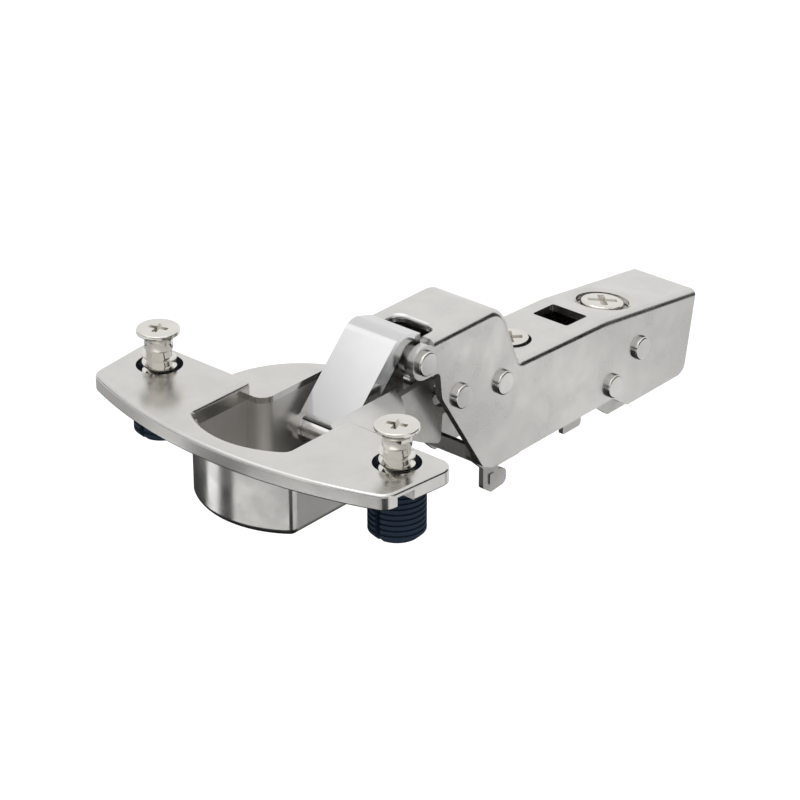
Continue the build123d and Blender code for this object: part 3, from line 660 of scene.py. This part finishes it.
# Name, azimuth, lowest and highest elevation in degrees, width in metres, and shade if not dark.
UPRIGHT_CARDS = [("card_right", -48, -17, 21, 0.3), ("card_front", 215, -8, 10, 0.5),
                 ("card_left", 130, -4, 8, 0.4), ("neck_band", -77, 12, 42, 0.06, 0.02),
                 ("foot_strip", 129, 14, 27, 0.16, 2.0)]
for values in UPRIGHT_CARDS:
    card(*values)
print("upright cards:", [values[0] for values in UPRIGHT_CARDS])

# %% Floor sectors
SECTOR_Z, SECTOR_STEPS, RING_STEPS = -0.088, 12, 48
# The rings' radii are in metres, from the cup's axis outwards. A sector is two azimuths in
# degrees and a shade.
CENTRE, NEAR, WALL, RIM = 0.001, 0.136, 0.178, 0.25
UNDER_CUP_SHADE = 0.02
WALL_SECTORS = [(30, 112, 0.04), (112, 131, 1.7), (131, 151, 0.02), (151, 219, 1.35),
                (219, 255, 0.02)]
RIM_SECTORS = [(60, 150, 0.5), (150, 255, 0.0)]


def sector(name, start, end, inner, outer, shade, steps=SECTOR_STEPS):
    """Flat ring sector just over the floor: one radial edge spun between two azimuths."""
    bm = bmesh.new()
    a = math.radians(start)
    ends = [bm.verts.new((r * math.cos(a), r * math.sin(a), SECTOR_Z)) for r in (inner, outer)]
    edge = bm.edges.new(ends)
    bmesh.ops.spin(bm, geom=ends + [edge], cent=(0, 0, 0), axis=(0, 0, 1),
                   angle=math.radians(end - start), steps=steps, use_merge=False)
    only_in_reflections(linked(name, bm), card_material(name, shade))


sector("under_cup", 0, 360, CENTRE, NEAR, UNDER_CUP_SHADE, steps=RING_STEPS)
for number, (start, end, shade) in enumerate(WALL_SECTORS):
    sector(f"wall_sector_{number}", start, end, NEAR, WALL, shade)
for number, (start, end, shade) in enumerate(RIM_SECTORS):
    sector(f"rim_sector_{number}", start, end, WALL, RIM, shade)
print("floor sectors:", 1 + len(WALL_SECTORS) + len(RIM_SECTORS))

# %% [markdown]
# ## What the link and the arm see
# The link's broad web looks up to the left, into a card that darkens downwards; its bends look
# past it, to the bright card overhead and to a low bright strip. The arm's flat side looks down
# at patches on the floor, and their shades become its soft gradient.

# %% Link card and overhead card
# Metres; LINK_LOOK is the azimuth and elevation that the link's web faces, in degrees.
LINK_MIDDLE, LINK_LOOK, LINK_CARD_DISTANCE = Vector((0.014, 0.0, 0.001)), (129, 41), 0.12
LINK_CARD_SIZE, LINK_SHADES, LINK_FADE = (0.10, 0.12), (0.82, 1.4), (-0.007, 0.006)
OVERHEAD_SIDE, OVERHEAD_PLACE, OVERHEAD_SHADE = 0.22, (0.02, 0.0, 0.35), 1.5
turn_left, look_up = (math.radians(v) for v in LINK_LOOK)
look = Vector((math.cos(turn_left) * math.cos(look_up), math.sin(turn_left) * math.cos(look_up),
               math.sin(look_up)))
card_middle = LINK_MIDDLE + look * LINK_CARD_DISTANCE
link_card = plane("link_card", *LINK_CARD_SIZE, card_middle,
                  look.to_track_quat("Z", "Y").to_matrix().to_4x4())
fade_low, fade_high = (card_middle.z + step for step in LINK_FADE)
only_in_reflections(link_card, card_material("link_card", *LINK_SHADES, fade_low, fade_high, "Z"))
overhead = plane("overhead", OVERHEAD_SIDE, OVERHEAD_SIDE, OVERHEAD_PLACE)
only_in_reflections(overhead, card_material("overhead", OVERHEAD_SHADE))
print("link card at", [round(v, 3) for v in card_middle])

# %% Floor patches
PATCH_Z = SECTOR_Z + 0.001
# Name, x from and to, y from and to in metres, then the shade near and, if it changes, far.
PATCHES = [("flat_patch", 0.085, 0.128, -0.16, -0.07, 0.95),
           ("link_patch", 0.128, 0.158, -0.165, -0.107, 0.03),
           ("side_patch", 0.185, 0.36, -0.165, -0.04, 0.95, 0.68),
           ("front_side_patch", 0.158, 0.185, -0.165, -0.04, 1.3, 0.85),
           ("low_side_patch", 0.128, 0.158, -0.107, -0.04, 0.85)]


def floor_patch(name, x0, x1, y0, y1, near, far=None):
    """Rectangle just over the sectors, even or shaded along Y."""
    patch = plane(name, x1 - x0, y1 - y0, ((x0 + x1) / 2, (y0 + y1) / 2, PATCH_Z))
    only_in_reflections(patch, card_material(name, near, far, y0, y1))


for values in PATCHES:
    floor_patch(*values)
print("floor patches:", [values[0] for values in PATCHES])

# %% [markdown]
# ## Camera
# A long lens, a little above the hinge, looking along it from the cup to the rear of the arm.

# %% Camera
CAMERA_PLACE, CAMERA_YAW, CAMERA_PITCH = (-0.31535, -0.29434, 0.2254), -49.171, 27.321
SENSOR_MM, LENS_MM, CLIP_START = 36.0, 135.0, 0.01
camera_data = bpy.data.cameras.new("camera")
camera_data.sensor_width = SENSOR_MM
camera_data.lens = LENS_MM
camera_data.clip_start = CLIP_START
camera = bpy.data.objects.new("camera", camera_data)
bpy.context.collection.objects.link(camera)
yaw, pitch = math.radians(CAMERA_YAW), math.radians(CAMERA_PITCH)
back = Vector((math.sin(yaw) * math.cos(pitch), -math.cos(yaw) * math.cos(pitch),
               math.sin(pitch)))
right = Vector((math.cos(yaw), math.sin(yaw), 0))
basis = Matrix((right, back.cross(right), back)).transposed().to_4x4()
camera.matrix_world = Matrix.Translation(CAMERA_PLACE) @ basis
bpy.context.scene.camera = camera
bpy.context.scene.view_settings.view_transform = "Standard"
print("camera:", LENS_MM, "mm lens")
